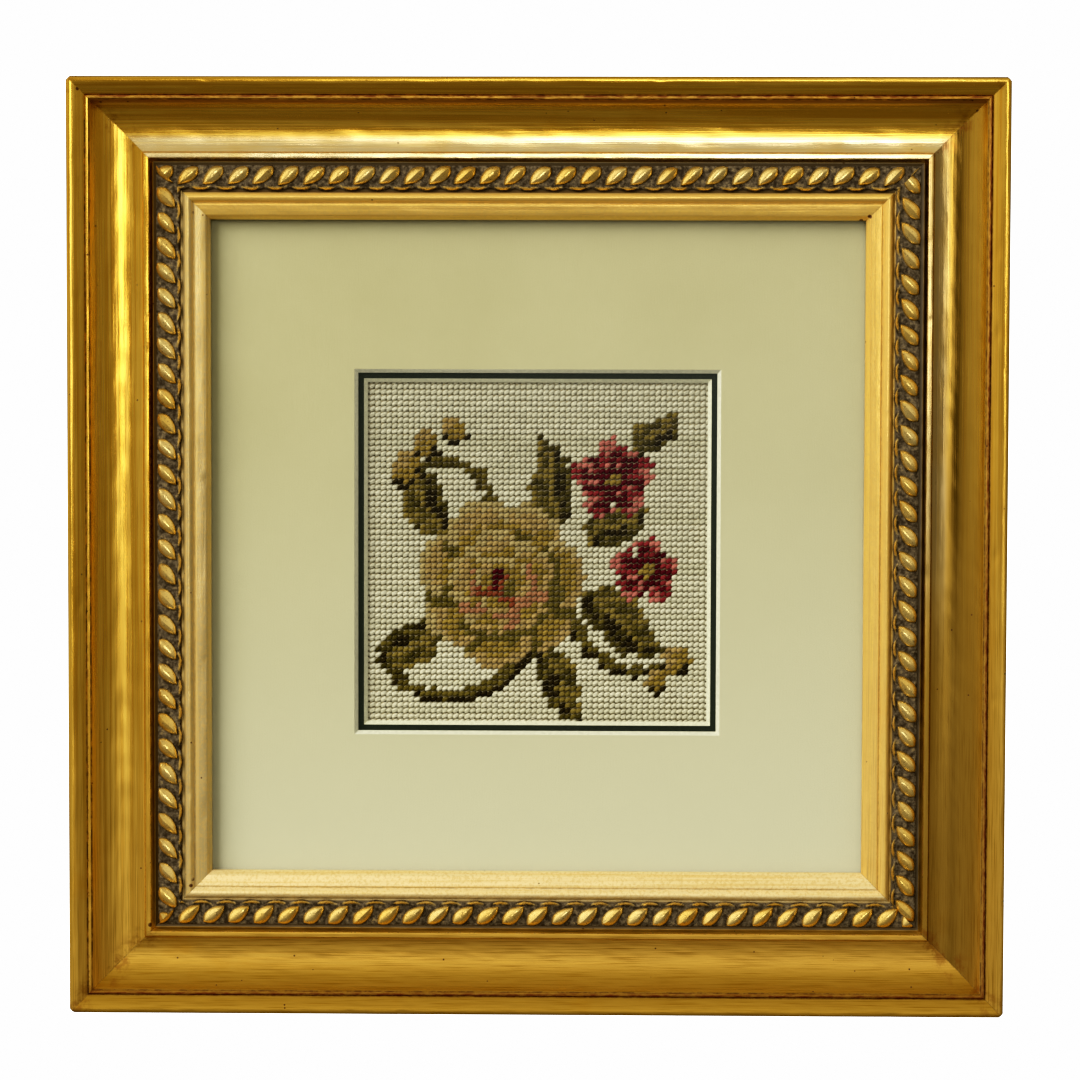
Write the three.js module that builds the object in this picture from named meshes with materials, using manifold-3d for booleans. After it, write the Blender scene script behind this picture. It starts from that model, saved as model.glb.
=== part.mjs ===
// Framed needlepoint picture. A square gilded frame of four mitred rails, with a leaf rope ornament
// laid in a channel of each rail, holds a pane of glass, two window mats, a stitched canvas and a
// backing board, kept in by small steel points. Millimetres, +Z up, front towards -Y.
// The origin is on the wall, at the middle of the top rail's flat back.

import * as THREE from 'three';
import { mergeVertices } from 'three/addons/utils/BufferGeometryUtils.js';
import Module from 'manifold-3d';

const wasm = await Module();
wasm.setup();

// Driving dimensions
const FRAME_SIDE = 350;
const RAIL_WIDTH = 52.4;
const PACK_SIDE = 254;
const CLEARANCE = 0.3;

// The layers behind the lip, which are packed from this depth down towards the wall
const LEDGE_DEPTH = 14;
const GLASS_THICKNESS = 2;
const MAT_THICKNESS = 1.4;
const CANVAS_THICKNESS = 2;
const BACKING_THICKNESS = 2.5;

// Windows in the mats, at their front edges, and how far their middle lies under the frame's
const TOP_WINDOW = 138.1;
const UNDER_WINDOW = 131.1;
const WINDOW_DROP = 2.2;
const CANVAS_SIDE = 160;

// Front of a rail: distances in from the outer edge, and depths forwards from the wall.
// A crest is the point that a round moulding is drawn towards.
const SIDE_TOP = 26.6;
const EDGE_ROLL = { end: 1.3, depth: 28.9, crest: 28.9 };
const OUTER_BEAD = { end: 6.7, depth: 26.3, middle: 2.6, crest: 29.2 };
const OUTER_FILLET = { start: 7.1, end: 8.1, depth: 26.7 };
const COVE = { start: 8.5, end: 27.5, low: 21.9, depth: 18.8, radius: 16.1 };
const INNER_FILLET = { start: 27.9, end: 29.8, depth: 21.4 };
const CHANNEL = { start: 31, end: 42.1, depth: 18.2 };
const OGEE = { end: 46.1, depth: 18.8, middle: 43.9, crest: 21.8 };
const LIP = { groove: 46.4, start: 46.9, high: 19, ridge: 50.8, low: 18, sight: 16.2 };
const CURVE_SEGMENTS = 7;

// Leaf rope ornament, which runs in the channel
const ROPE = { start: 32.4, end: 40.6, thickness: 0.8, scallopRise: 1.2, scallopSegments: 4 };
const LEAF = {
  pitch: 9.4, middle: 36.3, halfLength: 4.7, halfWidth: 2.95, height: 2.7,
  slantDeg: 35, sunk: 0.3, pointed: 0.2, segments: 8,
};
// How far a leaf lies past the middle of each rail
const ROPE_SHIFT = { top: 0.9, right: -4.9, bottom: -0.7, left: -1.1 };

// Steel points that hold the pack in, two to a rail
const POINT = { length: 13, width: 9, tip: 2, thickness: 0.6, sunk: 5, offset: 72 };

const half = FRAME_SIDE / 2;
const rebateWall = (FRAME_SIDE - PACK_SIDE) / 2 - CLEARANCE;
const mitreSetback = (CLEARANCE / 2) * Math.SQRT2;

// Depth of the back of each layer, from the glass down to the points
const glassBack = LEDGE_DEPTH - CLEARANCE - GLASS_THICKNESS;
const topMatBack = glassBack - CLEARANCE - MAT_THICKNESS;
const underMatBack = topMatBack - CLEARANCE - MAT_THICKNESS;
const canvasBack = underMatBack - CLEARANCE - CANVAS_THICKNESS;
const backingBack = canvasBack - CLEARANCE - BACKING_THICKNESS;
const pointBack = backingBack - CLEARANCE - POINT.thickness;

const finish = (color, roughness, metalness = 0) =>
  new THREE.MeshStandardMaterial({ color, roughness, metalness });
const gilding = finish(0xb98a35, 0.35, 0.9);
const agedGilding = finish(0xa98a4a, 0.4, 0.8);
const clearGlass = finish(0xe8efe9, 0.03);
const creamBoard = finish(0xcdc895, 0.9);
const greenBoard = finish(0x18201a, 0.9);
const yarn = finish(0xb9ad84, 0.95);
const brownBoard = finish(0x8f7550, 0.9);
const steel = finish(0x8c8f91, 0.4, 0.9);

// A three.js geometry as a solid that can be joined and cut
function toSolid(geometry) {
  const bare = geometry.clone();
  bare.deleteAttribute('normal');
  bare.deleteAttribute('uv');
  const merged = mergeVertices(bare);
  return new wasm.Manifold(new wasm.Mesh({
    numProp: 3,
    vertProperties: new Float32Array(merged.attributes.position.array),
    triVerts: new Uint32Array(merged.index.array),
  }));
}

function toGeometry(solid) {
  const mesh = solid.getMesh();
  const geometry = new THREE.BufferGeometry();
  geometry.setAttribute('position', new THREE.BufferAttribute(mesh.vertProperties, 3));
  geometry.setIndex(new THREE.BufferAttribute(mesh.triVerts, 1));
  geometry.computeVertexNormals();
  return geometry;
}

// A flat shape of x and z, made solid forwards from the given depth
function plate(shape, thickness, back, curveSegments = 1) {
  const geometry = new THREE.ExtrudeGeometry(shape, {
    depth: thickness, bevelEnabled: false, curveSegments,
  });
  geometry.rotateX(Math.PI / 2);
  return geometry.translate(0, -back, 0);
}

// The hollow of a rail, drawn from its inner end to its outer one
function drawCove(section) {
  const angleAt = (distance) => Math.asin((distance - COVE.low) / COVE.radius) - Math.PI / 2;
  const centre = COVE.depth + COVE.radius;
  section.absarc(COVE.low, centre, COVE.radius, angleAt(COVE.end), angleAt(COVE.start), true);
}

// The cross section of a rail: x is the distance in from the outer edge, y the depth
function railSection() {
  const section = new THREE.Shape();
  section.moveTo(0, 0);
  section.lineTo(rebateWall, 0);
  section.lineTo(rebateWall, LEDGE_DEPTH);
  section.lineTo(RAIL_WIDTH, LEDGE_DEPTH);
  section.lineTo(RAIL_WIDTH, LIP.sight);
  section.lineTo(LIP.ridge, LIP.low);
  section.lineTo(LIP.start, LIP.high);
  section.lineTo(LIP.groove, CHANNEL.depth);
  section.lineTo(OGEE.end, OGEE.depth);
  section.quadraticCurveTo(OGEE.middle, OGEE.crest, CHANNEL.end, CHANNEL.depth);
  section.lineTo(CHANNEL.start, CHANNEL.depth);
  section.lineTo(INNER_FILLET.end, INNER_FILLET.depth);
  section.lineTo(INNER_FILLET.start, INNER_FILLET.depth);
  drawCove(section);
  section.lineTo(OUTER_FILLET.end, OUTER_FILLET.depth);
  section.lineTo(OUTER_FILLET.start, OUTER_FILLET.depth);
  section.lineTo(OUTER_BEAD.end, OUTER_BEAD.depth);
  section.quadraticCurveTo(OUTER_BEAD.middle, OUTER_BEAD.crest, EDGE_ROLL.end, EDGE_ROLL.depth);
  section.quadraticCurveTo(0, EDGE_ROLL.crest, 0, SIDE_TOP);
  section.closePath();
  return section;
}

// The top rail, its ends cut at 45 degrees, with the frame's middle at x = 0, z = 0
function railGeometry() {
  const bar = new THREE.ExtrudeGeometry(railSection(), {
    depth: 1, steps: 1, bevelEnabled: false, curveSegments: CURVE_SEGMENTS,
  });
  const at = bar.attributes.position;
  for (let i = 0; i < at.count; i += 1) {
    const distance = at.getX(i);
    const end = 1 - 2 * at.getZ(i);
    at.setXYZ(i, end * (half - distance - mitreSetback), -at.getY(i), half - distance);
  }
  return bar;
}

// A steel point of the top rail: its narrow end is in the wood, its wide end over the backing.
// Grown all round, it is the slot that the point sits in.
function pointGeometry(grow = 0) {
  const wall = half - rebateWall;
  const side = POINT.width / 2 + grow;
  const tip = POINT.tip / 2 + grow;
  const outline = new THREE.Shape();
  outline.moveTo(-side, wall + POINT.sunk - POINT.length);
  outline.lineTo(side, wall + POINT.sunk - POINT.length);
  outline.lineTo(side, wall);
  outline.lineTo(tip, wall + POINT.sunk + grow);
  outline.lineTo(-tip, wall + POINT.sunk + grow);
  outline.lineTo(-side, wall);
  outline.closePath();
  return plate(outline, POINT.thickness + 2 * grow, pointBack - grow);
}

function slottedRail() {
  let rail = toSolid(railGeometry());
  for (const side of [-1, 1]) {
    const slot = pointGeometry(CLEARANCE).translate(side * POINT.offset, 0, 0);
    rail = rail.subtract(toSolid(slot));
  }
  return toGeometry(rail);
}

// One leaf of the rope: a dome drawn out to a point at both ends, slanted across the channel
function leafGeometry() {
  const leaf = new THREE.SphereGeometry(1, LEAF.segments, LEAF.segments / 2);
  const slant = THREE.MathUtils.degToRad(LEAF.slantDeg);
  const at = leaf.attributes.position;
  for (let i = 0; i < at.count; i += 1) {
    const [along, up, across] = [at.getX(i), at.getY(i), at.getZ(i)];
    const drawn = (along * (1 + LEAF.pointed * along * along)) / (1 + LEAF.pointed);
    const length = drawn * LEAF.halfLength;
    const width = across * LEAF.halfWidth;
    at.setXYZ(
      i,
      length * Math.cos(slant) + width * Math.sin(slant),
      -up * (up > 0 ? LEAF.height : LEAF.sunk),
      length * Math.sin(slant) - width * Math.cos(slant),
    );
  }
  return leaf;
}

// The strip under the leaves. Its inner edge is a row of scallops, each between two leaves.
function stripGeometry(firstLeaf, leaves) {
  const inner = half - ROPE.end;
  const outline = new THREE.Shape();
  outline.moveTo(-half, half - ROPE.start);
  outline.lineTo(-half, inner);
  outline.lineTo(firstLeaf, inner);
  for (let i = 0; i < leaves; i += 1) {
    const start = firstLeaf + i * LEAF.pitch;
    const drawnTo = inner - 2 * ROPE.scallopRise;
    outline.quadraticCurveTo(start + LEAF.pitch / 2, drawnTo, start + LEAF.pitch, inner);
  }
  outline.lineTo(half, inner);
  outline.lineTo(half, half - ROPE.start);
  outline.closePath();
  return plate(outline, ROPE.thickness, CHANNEL.depth + CLEARANCE, ROPE.scallopSegments);
}

// All that lies between the two mitres of the top rail
function mitreWedge() {
  const wedge = new THREE.Shape();
  wedge.moveTo(0, mitreSetback);
  wedge.lineTo(half - mitreSetback, half);
  wedge.lineTo(mitreSetback - half, half);
  wedge.closePath();
  return plate(wedge, half, 0);
}

function ropeGeometry(shift) {
  const eachSide = Math.floor((half - ROPE.start) / LEAF.pitch);
  const firstLeaf = shift - eachSide * LEAF.pitch;
  const leaves = 2 * eachSide;
  const front = CHANNEL.depth + CLEARANCE + ROPE.thickness - LEAF.sunk / 2;
  let rope = toSolid(stripGeometry(firstLeaf, leaves));
  for (let i = 0; i < leaves; i += 1) {
    const leaf = leafGeometry();
    leaf.translate(firstLeaf + i * LEAF.pitch, -front, half - LEAF.middle);
    rope = rope.add(toSolid(leaf));
  }
  return toGeometry(rope.intersect(toSolid(mitreWedge())));
}

function boardGeometry(side, thickness, back) {
  const board = new THREE.BoxGeometry(side, thickness, side);
  return board.translate(0, -back - thickness / 2, 0);
}

// A mat whose window is cut at 45 degrees, wider in front
function matGeometry(window, back) {
  const over = MAT_THICKNESS;
  const wide = (window / 2 + over) * Math.SQRT2;
  const narrow = (window / 2 - MAT_THICKNESS - over) * Math.SQRT2;
  const cutter = new THREE.CylinderGeometry(narrow, wide, MAT_THICKNESS + 2 * over, 4);
  cutter.rotateY(Math.PI / 4);
  cutter.translate(0, -back - MAT_THICKNESS / 2, -WINDOW_DROP);
  const board = toSolid(boardGeometry(PACK_SIDE, MAT_THICKNESS, back));
  return toGeometry(board.subtract(toSolid(cutter)));
}

const group = new THREE.Group();
const picture = new THREE.Group();
picture.position.z = rebateWall / 2 - half;
group.add(picture);

function addPiece(name, geometry, material, parent = picture) {
  const mesh = new THREE.Mesh(geometry, material);
  mesh.name = name;
  parent.add(mesh);
}

const railShape = slottedRail();
['top', 'right', 'bottom', 'left'].forEach((place, turns) => {
  const side = new THREE.Group();
  side.rotation.y = (turns * Math.PI) / 2;
  picture.add(side);
  addPiece(`rail_${place}`, railShape, gilding, side);
  addPiece(`rope_${place}`, ropeGeometry(ROPE_SHIFT[place]), agedGilding, side);
  [-1, 1].forEach((direction, i) => {
    const point = pointGeometry().translate(direction * POINT.offset, 0, 0);
    addPiece(`point_${place}_${i + 1}`, point, steel, side);
  });
});

addPiece('glass', boardGeometry(PACK_SIDE, GLASS_THICKNESS, glassBack), clearGlass);
addPiece('mat_top', matGeometry(TOP_WINDOW, topMatBack), creamBoard);
addPiece('mat_under', matGeometry(UNDER_WINDOW, underMatBack), greenBoard);
addPiece('backing', boardGeometry(PACK_SIDE, BACKING_THICKNESS, backingBack), brownBoard);
const needlepoint = boardGeometry(CANVAS_SIDE, CANVAS_THICKNESS, canvasBack);
addPiece('needlepoint', needlepoint.translate(0, 0, -WINDOW_DROP), yarn);

export default group;
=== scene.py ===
import math
import random

import bmesh
import bpy
import numpy as np
from mathutils import Matrix, Vector


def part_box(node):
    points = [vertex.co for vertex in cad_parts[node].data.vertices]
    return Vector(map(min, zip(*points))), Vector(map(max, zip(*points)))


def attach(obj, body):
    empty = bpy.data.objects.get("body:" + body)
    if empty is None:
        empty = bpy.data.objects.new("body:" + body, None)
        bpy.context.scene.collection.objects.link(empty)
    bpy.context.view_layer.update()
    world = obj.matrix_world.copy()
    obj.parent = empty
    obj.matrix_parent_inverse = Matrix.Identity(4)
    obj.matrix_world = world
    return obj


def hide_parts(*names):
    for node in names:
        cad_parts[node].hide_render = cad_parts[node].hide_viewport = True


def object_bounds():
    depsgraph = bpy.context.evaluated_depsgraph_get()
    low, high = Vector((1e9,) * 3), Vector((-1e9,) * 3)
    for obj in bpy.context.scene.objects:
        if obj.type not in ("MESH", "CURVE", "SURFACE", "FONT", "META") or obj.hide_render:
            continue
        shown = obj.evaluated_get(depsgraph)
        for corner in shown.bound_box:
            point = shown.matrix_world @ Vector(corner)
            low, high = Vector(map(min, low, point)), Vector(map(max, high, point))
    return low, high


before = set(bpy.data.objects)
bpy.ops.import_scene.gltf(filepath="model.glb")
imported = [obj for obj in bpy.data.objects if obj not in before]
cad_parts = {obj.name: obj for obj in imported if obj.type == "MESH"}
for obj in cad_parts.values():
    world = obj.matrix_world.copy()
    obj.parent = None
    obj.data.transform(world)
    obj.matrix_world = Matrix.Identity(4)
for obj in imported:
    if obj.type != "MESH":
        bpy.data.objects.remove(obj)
cad_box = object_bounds()

# Sizes in metres, from the frame and from the mouldings that its rails are cut from
MM = 0.001
SIDES = ("top", "right", "bottom", "left")
HALF = (cad_box[1].x - cad_box[0].x) / 2
MIDDLE = (cad_box[0].z + cad_box[1].z) / 2
SEED = 8615

# A rail's section in millimetres: distances in from the outer edge, and depths forwards from the wall
REBATE_WALL = 47.7
LEDGE_DEPTH = 14
RAIL_WIDTH = 52.4
SIDE_TOP = 26.6
EDGE_ROLL = {"end": 1.3, "depth": 28.9, "crest": 28.9}
OUTER_BEAD = {"end": 6.7, "depth": 26.3, "middle": 2.6, "crest": 29.2}
OUTER_FILLET = {"start": 7.1, "end": 8.1, "depth": 26.7}
COVE = {"start": 8.5, "end": 27.5, "low": 21.9, "depth": 18.8, "radius": 16.1}
INNER_FILLET = {"start": 27.9, "end": 29.8, "depth": 21.4}
CHANNEL = {"start": 31, "middle": 36.5, "end": 42.1, "depth": 18.2}
OGEE = {"end": 46.1, "depth": 18.8, "middle": 43.9, "crest": 21.8}
LIP = {"groove": 46.4, "start": 46.9, "high": 19, "middle": 49.0, "crest": 18.65, "ridge": 50.8, "low": 18,
       "sight": 16.2}
QUIRK = {"middle": 6.9, "depth": 25.9}
EDGE_SOFTNESS = 0.22
RAIL_STEPS = 230
MITRE_GAP = 0.015

# A rail's unevenness in millimetres: a long swell, a shorter ripple, and dents on its raised edges. A swell
# has its height, its count of waves, and their highest frequencies along and across the rail.
SWELLS = ((0.10, 9, 0.03, 0.08), (0.045, 9, 0.12, 0.3))
DENT = {"count": 26, "along": (-150, 150), "reach": (1.2, 3.2), "depth": (0.06, 0.28), "width": 0.9}
DENT_EDGES = (1.2, 4.4, 7.7, 7.7, 28.8, 28.8, 44.5, 50.6)
CORNER_WEAR = {"deep": 0.7, "wide": 1.4}

# The bend in degrees over which an edge of each piece is sharp
RAIL_SHARP, ROPE_SHARP, MAT_SHARP, STITCH_SHARP = 42, 50, 25, 180

# Leaf rope, in millimetres. A leaf's tip is how far its outline stays full, its belly how round that is.
ROPE = {"start": 32.4, "end": 40.6, "thickness": 0.8, "scallop": 1.2, "rim": 1.15, "rim_in": 0.55,
        "rim_width": 0.42, "fall": 0.25, "uneven": 0.07, "gap": 0.3}
LEAF = {"pitch": 9.4, "middle": 36.3, "half_length": 5.2, "half_width": 2.85, "height": 2.7,
        "slant": math.radians(40), "sunk": 0.3, "skew": 0.3, "tip": 2.1, "belly": 0.72}
ROPE_SHIFT = {"top": 0.9, "right": -4.9, "bottom": -0.7, "left": -1.1}

# Mats and stitches, in millimetres. A mat's loops of points lie at shares of the way in to its window, and
# its cut edge is rounded in front, at shares of its thickness.
TOP_WINDOW = 138.1
UNDER_WINDOW = 131.1
WINDOW_DROP = 2.2
MAT_LOOPS = (0.1, 0.25, 0.4, 0.55, 0.7, 0.82, 0.92, 0.97, 1.0)
MAT_UNEVEN = 0.06
BEVEL_EDGE = {"in": 0.25, "up": 0.78}
CANVAS_THICKNESS = 0.9
CANVAS_UNEVEN = 0.03
CANVAS_DRAWN = 0.004
STITCH_PITCH = 25.4 / 12
STITCHES_EACH_WAY = 64


def wave_sum(rng, waves, along, across):
    """A smooth seeded wobble of two lengths, from -1 to 1. along and across are its highest frequencies."""
    parts = [(rng.uniform(-along, along), rng.uniform(-across, across), rng.uniform(0, math.tau))
             for _ in range(waves)]

    def value(t, u):
        total = sum(np.sin(math.tau * (f * t + g * u) + turn) for f, g, turn in parts)
        return total / math.sqrt(waves) / 1.5

    return value


def mesh_object(name, points, faces, sharp_over=38, finish_of=None):
    """A closed mesh as an object, its normals outwards and its edges sharp over that many degrees."""
    mesh = bpy.data.meshes.new(name)
    mesh.from_pydata([tuple(p) for p in points], [], faces)
    if finish_of is not None:
        mesh.polygons.foreach_set("material_index", finish_of)
    build = bmesh.new()
    build.from_mesh(mesh)
    bmesh.ops.recalc_face_normals(build, faces=build.faces)
    shade_by_angle(build, sharp_over)
    build.to_mesh(mesh)
    build.free()
    obj = bpy.data.objects.new(name, mesh)
    bpy.context.collection.objects.link(obj)
    return obj


def shade_by_angle(build, sharp_over):
    limit = math.radians(sharp_over)
    for face in build.faces:
        face.smooth = True
    for edge in build.edges:
        edge.smooth = edge.calc_face_angle(0) < limit


def add_piece(obj, slot, materials, *replaced):
    for material in materials:
        obj.data.materials.append(material)
    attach(obj, "root")
    if replaced:
        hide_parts(*replaced)
    return obj


def on_side(points, turns):
    """Points of the top rail, about the frame's middle, turned on to another side and put in place."""
    points = np.array(points, float)
    for _ in range(turns):
        points = np.stack([points[:, 2], points[:, 1], -points[:, 0]], 1)
    return points + (0, 0, MIDDLE)


def operator(kind, swapped=False):
    """An operator of Value, which adds a Math node."""
    def apply(self, *others):
        values = (self, *others)
        return self.nodes.math(kind, *(reversed(values) if swapped else values))

    return apply


class Value:
    """What a node gives, so that sums of such values are written like sums of plain numbers."""

    def __init__(self, nodes, socket):
        self.nodes, self.socket = nodes, socket

    __add__ = __radd__ = operator("ADD")
    __mul__ = __rmul__ = operator("MULTIPLY")
    __sub__, __rsub__ = operator("SUBTRACT"), operator("SUBTRACT", swapped=True)
    __gt__, __lt__, __abs__ = operator("GREATER_THAN"), operator("LESS_THAN"), operator("ABSOLUTE")
    at_least, at_most = operator("MAXIMUM"), operator("MINIMUM")

    def span(self, low, high, to_low=0.0, to_high=1.0):
        """Its place between low and high, clamped, smooth at both ends."""
        values = {"Value": self, "From Min": low, "From Max": high, "To Min": to_low, "To Max": to_high}
        return self.nodes.out("MapRange", values, interpolation_type="SMOOTHSTEP")


class Nodes:
    """A node tree, and short calls that add nodes to it."""

    def __init__(self, tree):
        self.tree = tree

    def put(self, socket, value):
        if isinstance(value, Value):
            self.tree.links.new(value.socket, socket)
        else:
            socket.default_value = (*value, 1) if socket.type == "RGBA" else value

    def node(self, kind, inputs=None, **settings):
        node = self.tree.nodes.new("ShaderNode" + kind)
        for key, value in settings.items():
            setattr(node, key, value)
        for key, value in (inputs or {}).items():
            self.put(node.inputs[key], value)
        return node

    def out(self, kind, inputs=None, output=0, **settings):
        """What a new node gives at that output."""
        return Value(self, self.node(kind, inputs, **settings).outputs[output])

    def math(self, operation, *values):
        return self.out("Math", dict(enumerate(values)), operation=operation)


class Finish(Nodes):
    """The nodes of a material with one principled shader."""

    def __init__(self, name):
        self.material = bpy.data.materials.new(name)
        self.material.use_nodes = True
        super().__init__(self.material.node_tree)
        self.shader = self.tree.nodes["Principled BSDF"]
        self.place = self.out("TexCoord", output="Object")
        parts = self.node("SeparateXYZ", {0: self.place}).outputs
        self.x, self.y, self.z = (Value(self, part) for part in parts)

    def set(self, **inputs):
        """Sets sockets of the shader, and gives the material. An underline in a name stands for a space."""
        for key, value in inputs.items():
            self.put(self.shader.inputs[key.replace("_", " ")], value)
        return self.material

    def turned(self, turn=(0, 0, 0), scale=(1, 1, 1), at=None):
        return self.out("Mapping", {"Vector": at or self.place, "Rotation": turn, "Scale": scale})

    def noise(self, scale, detail=2.0, roughness=0.5, at=None):
        """Cloudy noise. scale is how often it changes in a metre, the same or its own in each direction."""
        if isinstance(scale, tuple):
            at, scale = self.turned(scale=scale, at=at), 1.0
        values = {"Vector": at or self.place, "Scale": scale, "Detail": detail, "Roughness": roughness}
        return self.out("TexNoise", values)

    def cells(self, scale):
        """How far away the nearest of some scattered points is."""
        return self.out("TexVoronoi", {"Vector": self.place, "Scale": scale}, "Distance")

    def mix(self, share, low, high, blend="MIX"):
        inputs = {0: share, 6: low, 7: high}
        return self.out("Mix", inputs, 2, data_type="RGBA", blend_type=blend)

    def bump(self, height, distance, strength=1.0):
        return self.out("Bump", {"Height": height, "Distance": distance, "Strength": strength})


class RailSpot:
    """Where a point lies on the frame: how far along a rail and in from the outer edge, and on which."""

    def __init__(self, finish):
        self.finish = finish
        x, rise = finish.x, finish.z - MIDDLE
        sideways, upwards = abs(x), abs(rise)
        upright = sideways > upwards
        self.along = x + upright * (rise - x)
        self.inwards = HALF - sideways.at_least(upwards)
        self.to_mitre = abs(sideways - upwards)
        # From 0 up: bottom, left, top, right
        self.number = upright + 2.0 * (x + rise - self.along > 0.0)
        self.top_or_right, self.right = self.number > 1.5, self.number > 2.5
        self.top = self.top_or_right * (self.number < 2.5)
        self.left = (self.number > 0.5) * (1.0 - self.top_or_right)
        self.bottom = self.number < 0.5

    def near(self, middle, width):
        """1 that far in from the outer edge, in millimetres, falling to 0 at that width on both sides."""
        return abs(self.inwards - middle * MM).span(0.0, width * MM, 1.0, 0.0)

    def between(self, start, end, to_low=0.0, to_high=1.0):
        """A smooth change between two distances in from the outer edge, in millimetres."""
        return self.inwards.span(start * MM, end * MM, to_low, to_high)

    def drawn_out(self, depth, stretch, fine, detail, roughness=0.5):
        """Noise drawn out along the rails. stretch and fine are how often it changes along and across."""
        parts = {0: self.along * stretch, 1: self.inwards * fine, 2: depth}
        return self.finish.noise(1.0, detail, roughness, self.finish.out("CombineXYZ", parts))


# Gold leaf over red clay: the colours of the leaf, of what shows where it is rubbed, worn or has toning,
# and of painted highlight and painted shade
# The pale and lip colours serve partly as painted highlight; the left lip, right, shaded and bottom colours
# are painted shade
GOLD = {"deep": (0.78, 0.44, 0.07), "bright": (0.97, 0.64, 0.15), "lower": (0.84, 0.62, 0.22),
        "hair": (0.55, 0.33, 0.07), "cloud": (0.76, 0.40, 0.05), "pale": (0.95, 0.79, 0.48),
        "lip": (1.0, 0.84, 0.50), "left_lip_painted_shade": (0.60, 0.48, 0.25), "lip_streak": (0.88, 0.63, 0.24),
        "lip_mottle": (0.80, 0.55, 0.19), "right": (0.34, 0.22, 0.06), "shaded": (0.13, 0.08, 0.018),
        "bottom": (0.42, 0.24, 0.02), "rubbed": (0.34, 0.12, 0.03)}
# The hollow colour is toning; the channel colours are painted shade, dark for the top and left rails and a
# paler grey for the bottom and right
TONING_AND_SHADE = {"hollow": (0.070, 0.030, 0.012), "channel": (0.050, 0.030, 0.016), "pale_channel_shade": (0.17, 0.14, 0.10)}
# Red clay where the leaf is worn through; the same colour also serves as painted shade
CLAY_AND_SHADE = (0.17, 0.035, 0.012)
CHIP = (0.12, 0.055, 0.02)
# How high over the wall the rope's toning reaches, in millimetres
TONED_BELOW = 19.35


def leaf_gold(finish, spot, streaks, hairs, mottle, low, lip):
    """The leaf's colour: streaked, paler on the lip, with painted highlight on the bottom lip and the upper
    cove, and painted shade on the left lip, the right rail and the bottom cove.
    """
    clouds = finish.noise(34.0, 4.0, 0.6)
    upper = finish.z.span(-0.21, -0.13) * spot.top_or_right
    right = spot.right * (1.0 - lip)
    # Painted highlight: pale gold where the cove turns up, on the top rail and the upper half of the right
    # rail
    cove_painted_highlight = upper * (spot.between(20.5, 23.5) - lip) * clouds.span(0.3, 0.6, 0.6, 1.0)
    # The lip's leaf is a paler gold all round, and much paler on the bottom lip as painted highlight
    lip_pale_and_highlight = lip * (0.9 - spot.top_or_right * 0.7)
    pale = finish.mix(lip, GOLD["pale"], GOLD["lip"])
    # Painted shade: a duller, darker gold on the left lip, which faces away from the light
    pale = finish.mix(spot.left * lip, pale, GOLD["left_lip_painted_shade"])
    pale = finish.mix(streaks.span(0.45, 0.68, 0.0, 0.55), pale, GOLD["lip_streak"])
    leaf = finish.mix(streaks.span(0.3, 0.72), GOLD["deep"], GOLD["bright"])
    for share, tint in (
        (low * 0.45, GOLD["lower"]),
        (hairs.span(0.48, 0.75) * (low + 0.3), GOLD["hair"]),
        (clouds.span(0.55, 0.8, 0.0, 0.45), GOLD["cloud"]),
        (cove_painted_highlight + lip_pale_and_highlight, pale),
        # Painted shade: deeper, browner gold over the right rail's cove, strongest in its upper half
        (right * spot.between(8.0, 12.0, 0.2, 0.7), GOLD["right"]),
        (right * spot.near(18.8, 3.4) * (upper * 0.6 + 0.25), GOLD["shaded"]),
        (lip * mottle.span(0.45, 0.62, 0.0, 0.45), GOLD["lip_mottle"]),
        # Painted shade: the bottom rail's cove darker towards its outer edge
        (spot.bottom * spot.between(13.0, 20.0, 0.5, 0.0), GOLD["bottom"]),
    ):
        leaf = finish.mix(share, leaf, tint)
    return leaf


def toned_and_shaded_places(spot, patches):
    """Where toning lies, in the hollows beside beads and lip and along the mitres, and where painted shade
    lies, in the channel.
    """
    hollow = spot.near(6.8, 0.7) + spot.near(8.4, 0.5) + spot.near(LIP["groove"], 0.45) * 0.5
    hollow = hollow.at_most(1.0) * (patches * 0.65 + 0.35)
    ending = spot.inwards - spot.top * (1.1 * MM)
    # Painted shade along the channel beside the rope
    channel = spot.between(30.8, 31.4) * ending.span(41.1 * MM, 42.0 * MM, 1.0, 0.0)
    mitre = spot.to_mitre.span(0.1 * MM, 0.5 * MM, 0.35, 0.0) * patches
    return hollow.at_least(mitre).at_least(channel), channel


def worn_and_shaded_places(finish, spot, patches, bottom_or_right):
    """Where the leaf is worn through to the clay on the fillets, and where clay colour is painted shade: on
    the outer fillets of every rail but the left, and on the top rail's cove just inside them.
    """
    worn = spot.near(7.3, 0.3) + spot.near(27.8, 0.25) + spot.near(29.9, 0.25)
    worn = worn * finish.noise(420.0, 3.0, 0.7).span(0.5, 0.62) * 0.8
    # Painted shade in the clay's colour: on the outer fillets of the top, right and bottom rails, and just
    # inside them on the top rail's cove
    fillet_painted_shade = spot.near(7.4, 1.3) * ((bottom_or_right + spot.top) * 0.85) * (patches * 0.5 + 0.6)
    outer_cove_painted_shade = spot.near(9.1, 1.3) * spot.top * 0.75
    return worn.at_least(fillet_painted_shade).at_least(outer_cove_painted_shade)


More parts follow.
